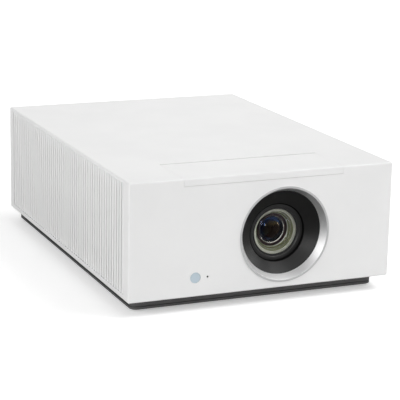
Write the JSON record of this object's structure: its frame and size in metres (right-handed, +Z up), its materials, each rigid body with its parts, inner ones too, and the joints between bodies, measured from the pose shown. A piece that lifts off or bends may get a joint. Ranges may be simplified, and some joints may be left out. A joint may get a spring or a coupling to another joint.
{
  "type": "home projector",
  "caption": "White box-shaped home projector on a dark plinth, with ribbed vented sides, a silver-ringed recessed lens with shift, focus and zoom, a flush front lid and rear sockets.",
  "frame": {"origin": "middle of the footprint at floor level", "axes": "+X right as seen from the front, the lens faces -Y, +Z up"},
  "size_m": [0.31, 0.43, 0.146],
  "materials": {
    "white_shell": "fine satin white moulding",
    "dark_base": "dark grey moulding",
    "rubber": "black rubber",
    "silver_ring": "turned and brushed",
    "black_plastic": "satin black moulding",
    "black_metal": "black anodised",
    "glass": "coated optical glass",
    "window": "pale blue tinted window",
    "led": "dark light pipe",
    "steel": "bright steel",
    "aluminium": "bare aluminium",
    "cast_metal": "die cast magnesium alloy",
    "copper": "bare copper",
    "brass": "threaded brass",
    "circuit_board": "green solder mask",
    "pan_steel": "zinc plated sheet"
  },
  "bodies": {
    "casing": {"upper_cover": "white_shell", "left_side_grille": "white_shell", "right_side_grille": "white_shell", "rear_cover": "white_shell", "bottom_pan": "dark_base", "plinth_frame": "dark_base", "base_plate": "dark_base", "ceiling_inserts": "brass", "case_screws": "steel", "rear_foot_pads": "rubber", "lens_trim_ring": "silver_ring", "lens_hood": "black_plastic", "sensor_window": "window", "status_led": "led", "sensor_board": "circuit_board", "control_bay_tray": "black_plastic", "horizontal_guide_rods": "steel", "lens_mount_frame": "cast_metal", "engine_housing": "cast_metal", "engine_lid": "pan_steel", "prism": "glass", "dmd_board": "circuit_board", "dmd_heatsink": "aluminium", "laser_module": "aluminium", "heat_pipes": "copper", "laser_heatsink": "aluminium", "fan_frames": "black_plastic", "main_board": "circuit_board", "power_supply_board": "circuit_board", "speaker_boxes": "black_plastic", "speaker_drivers": "black_plastic", "io_plate": "black_plastic", "hdmi_sockets": "steel", "usb_socket": "steel", "lan_socket": "steel", "audio_jack": "black_plastic", "ac_inlet": "black_plastic", "ac_pins": "steel", "power_switch": "circuit_board"},
    "lid": {"lid": "white_shell"},
    "horizontal_carriage": {"horizontal_carriage": "cast_metal", "vertical_guide_rods": "steel"},
    "vertical_carriage": {"vertical_carriage": "cast_metal", "lens_barrel": "black_metal", "lens_bezel": "black_metal", "rear_lens": "glass"},
    "focus_ring": {"focus_ring": "black_plastic"},
    "focus_group": {"focus_cell": "black_metal", "front_lens": "glass"},
    "zoom_ring": {"zoom_ring": "black_plastic"},
    "zoom_group": {"zoom_cell": "black_metal", "zoom_lens": "glass"},
    "horizontal_dial": {"horizontal_dial": "black_plastic"},
    "vertical_dial": {"vertical_dial": "black_plastic"},
    "front_left_foot": {"front_left_foot": "black_plastic"},
    "front_right_foot": {"front_right_foot": "black_plastic"},
    "power_button": {"power_button": "black_plastic"},
    "fan_rotor_front": {"fan_rotor_front": "black_plastic"},
    "fan_rotor_rear": {"fan_rotor_rear": "black_plastic"},
    "colour_wheel": {"colour_wheel": "aluminium"}
  },
  "joints": [
    {"name": "lid_hinge", "type": "hinge", "parent": "casing", "child": "lid", "pos_m": [0, -0.1472, 0.1435], "axis": [-1, 0, 0], "range_deg": [0, 85]},
    {"name": "lens_shift_horizontal", "type": "slide", "parent": "casing", "child": "horizontal_carriage", "axis": [1, 0, 0], "range_m": [-0.003, 0.003]},
    {"name": "lens_shift_vertical", "type": "slide", "parent": "horizontal_carriage", "child": "vertical_carriage", "axis": [0, 0, 1], "range_m": [-0.004, 0.004]},
    {"name": "horizontal_dial_turn", "type": "hinge", "parent": "casing", "child": "horizontal_dial", "pos_m": [0.0818, -0.1602, 0.1098], "axis": [1, 0, 0], "range_deg": [-541, 541]},
    {"name": "vertical_dial_turn", "type": "hinge", "parent": "horizontal_carriage", "child": "vertical_dial", "pos_m": [-0.029, -0.1602, 0.1163], "axis": [0, 0, 1], "range_deg": [-721, 721]},
    {"name": "focus_turn", "type": "hinge", "parent": "vertical_carriage", "child": "focus_ring", "pos_m": [0.025, -0.1859, 0.0725], "axis": [0, 1, 0], "range_deg": [-25, 25]},
    {"name": "focus_slide", "type": "slide", "parent": "vertical_carriage", "child": "focus_group", "axis": [0, 1, 0], "range_m": [-0.00205, 0.00205]},
    {"name": "zoom_turn", "type": "hinge", "parent": "vertical_carriage", "child": "zoom_ring", "pos_m": [0.025, -0.1706, 0.0725], "axis": [0, 1, 0], "range_deg": [-25, 25]},
    {"name": "zoom_slide", "type": "slide", "parent": "vertical_carriage", "child": "zoom_group", "axis": [0, 1, 0], "range_m": [-0.00305, 0.00305]},
    {"name": "front_left_foot_screw", "type": "slide", "parent": "casing", "child": "front_left_foot", "axis": [0, 0, -1], "range_m": [0, 0.008]},
    {"name": "front_right_foot_screw", "type": "slide", "parent": "casing", "child": "front_right_foot", "axis": [0, 0, -1], "range_m": [0, 0.008]},
    {"name": "power_button_press", "type": "slide", "parent": "casing", "child": "power_button", "axis": [0, -1, 0], "range_m": [0, 0.0008], "stiffness_N_per_m": 800, "springref_m": -0.0003},
    {"name": "front_fan_spin", "type": "hinge", "parent": "casing", "child": "fan_rotor_front", "pos_m": [0.1246, 0.065, 0.0595], "axis": [1, 0, 0], "continuous": true},
    {"name": "rear_fan_spin", "type": "hinge", "parent": "casing", "child": "fan_rotor_rear", "pos_m": [0.1246, 0.148, 0.0595], "axis": [1, 0, 0], "continuous": true},
    {"name": "colour_wheel_spin", "type": "hinge", "parent": "casing", "child": "colour_wheel", "pos_m": [0.085, -0.0541, 0.0725], "axis": [1, 0, 0], "continuous": true}
  ],
  "couplings": [
    {"joint": "horizontal_dial_turn", "follows": "lens_shift_horizontal", "rad_per_m": 3141.6},
    {"joint": "vertical_dial_turn", "follows": "lens_shift_vertical", "rad_per_m": 3141.6},
    {"joint": "focus_slide", "follows": "focus_turn", "m_per_rad": 0.0045837},
    {"joint": "zoom_slide", "follows": "zoom_turn", "m_per_rad": 0.0068755}
  ]
}
